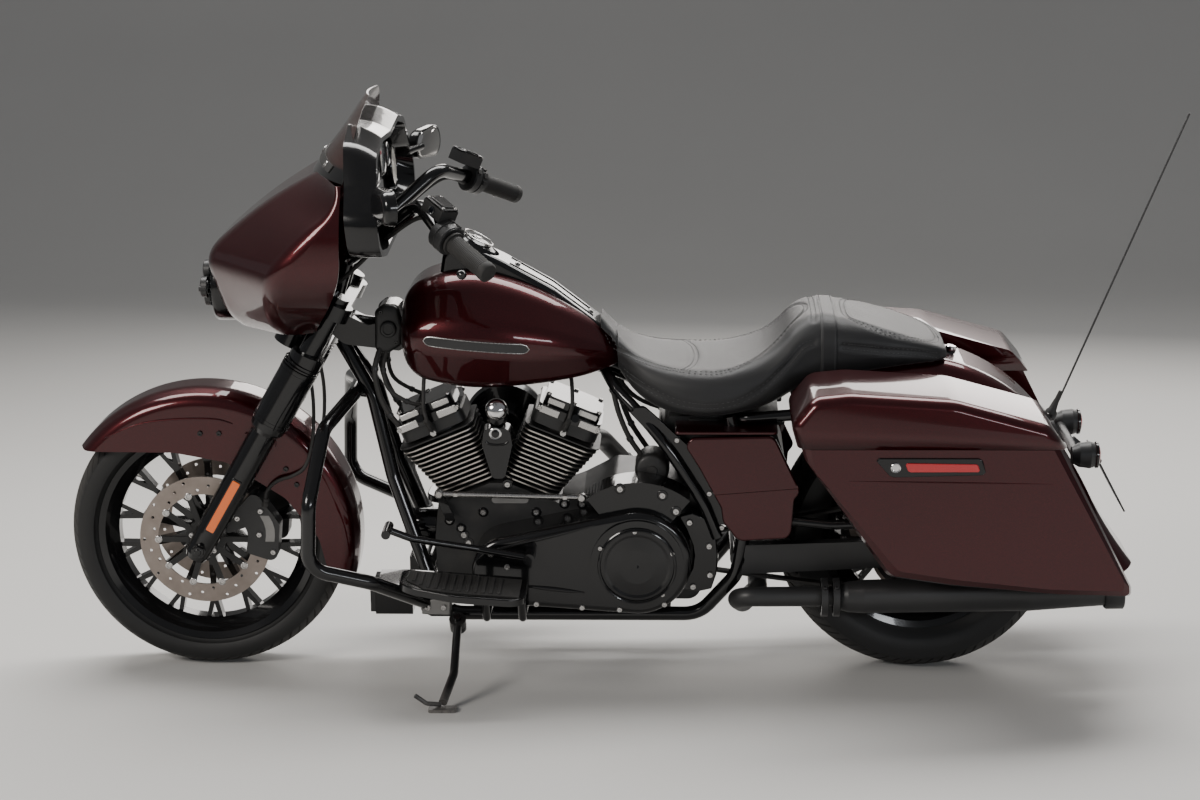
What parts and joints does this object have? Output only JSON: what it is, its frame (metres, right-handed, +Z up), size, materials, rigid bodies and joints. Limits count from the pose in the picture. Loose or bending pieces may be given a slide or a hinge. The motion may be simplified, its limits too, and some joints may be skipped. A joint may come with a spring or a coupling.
{
  "type": "touring cruiser motorcycle",
  "caption": "Large touring cruiser motorcycle on its side stand, with a fork-mounted fairing, low screen, twin engine, hard saddlebags, floorboards and a two-up seat.",
  "frame": {"origin": "middle of the bottom of the whole machine's box, on the road", "axes": "+X to the rear, +Y to the machine's right, +Z up; leaned 6 degrees to its left on the side stand"},
  "size_m": [2.4868, 0.967, 1.3373],
  "materials": {
    "wine_paint": "deep wine red metallic gloss paint",
    "gloss_black": "gloss black powder coat",
    "satin_black": "satin black coating",
    "engine_black": "wrinkle black with bright machined fin edges",
    "black_plastic": "black moulded plastic",
    "bright_steel": "bright steel",
    "disc_steel": "machined steel disc",
    "chrome": "polished chrome",
    "tyre_rubber": "tyre rubber",
    "rubber": "moulded rubber",
    "seat_leather": "black stitched seat cover",
    "smoked_screen": "smoked screen",
    "lamp_glass": "clear lamp lens",
    "lamp_red": "red lamp lens"
  },
  "bodies": {
    "chassis": {"frame": "gloss_black", "engine_case": "engine_black", "cylinders": "engine_black", "rocker_boxes": "gloss_black", "primary_cover": "gloss_black", "derby_cover": "gloss_black", "cam_cover": "gloss_black", "air_cleaner": "gloss_black", "horn_cover": "gloss_black", "exhaust": "satin_black", "fuel_tank": "wine_paint", "tank_console": "gloss_black", "seat": "seat_leather", "rear_fender": "wine_paint", "side_covers": "wine_paint", "saddlebag_left": "wine_paint", "saddlebag_right": "wine_paint", "engine_guard": "gloss_black", "floorboards": "gloss_black", "foot_controls": "gloss_black", "swingarm": "satin_black", "shock_absorbers": "satin_black", "rear_lights": "satin_black", "drive_belt": "rubber", "rear_caliper": "satin_black"},
    "steering": {"fork_legs": "gloss_black", "triple_clamps": "gloss_black", "handlebar": "gloss_black", "grips": "rubber", "hand_controls": "satin_black", "mirrors": "gloss_black", "fairing": "wine_paint", "inner_fairing": "gloss_black", "windshield": "smoked_screen", "headlight": "lamp_glass", "front_fender": "wine_paint", "front_calipers": "satin_black"},
    "front_wheel_body": {"front_tyre": "tyre_rubber", "front_wheel": "gloss_black", "front_brake_discs": "disc_steel"},
    "rear_wheel_body": {"rear_tyre": "tyre_rubber", "rear_wheel": "gloss_black", "rear_disc_and_pulley": "disc_steel"},
    "bag_lid_left_body": {"bag_lid_left": "wine_paint"},
    "bag_lid_right_body": {"bag_lid_right": "wine_paint"},
    "fuel_door_body": {"fuel_door": "gloss_black"},
    "side_stand_body": {"side_stand": "bright_steel"}
  },
  "joints": [
    {"name": "steering_turn", "type": "hinge", "parent": "chassis", "child": "steering", "pos_m": [-0.70434, 0.00655, 0.79626], "axis": [0.4384, -0.094, 0.8939], "range_deg": [-30, 30]},
    {"name": "front_wheel_spin", "type": "hinge", "parent": "steering", "child": "front_wheel_body", "pos_m": [-0.92452, 0.05683, 0.3179], "axis": [0, 0.9945, 0.1045], "continuous": true},
    {"name": "rear_wheel_spin", "type": "hinge", "parent": "chassis", "child": "rear_wheel_body", "pos_m": [0.70048, 0.05672, 0.31889], "axis": [0, 0.9945, 0.1045], "continuous": true},
    {"name": "side_stand_fold", "type": "hinge", "parent": "chassis", "child": "side_stand_body", "pos_m": [-0.33852, -0.12629, 0.14682], "axis": [0, -0.5847, 0.8113], "range_deg": [0, 80]},
    {"name": "bag_lid_left_hinge", "type": "hinge", "parent": "chassis", "child": "bag_lid_left_body", "pos_m": [0.73548, -0.40636, 0.59198], "axis": [1, 0, 0], "range_deg": [0, 80]},
    {"name": "bag_lid_right_hinge", "type": "hinge", "parent": "chassis", "child": "bag_lid_right_body", "pos_m": [0.73548, 0.45291, 0.6823], "axis": [-1, 0, 0], "range_deg": [0, 80]},
    {"name": "fuel_door_hinge", "type": "hinge", "parent": "chassis", "child": "fuel_door_body", "pos_m": [-0.32749, -0.01554, 1.00639], "axis": [0, -0.9945, -0.1045], "range_deg": [0, 70]}
  ]
}
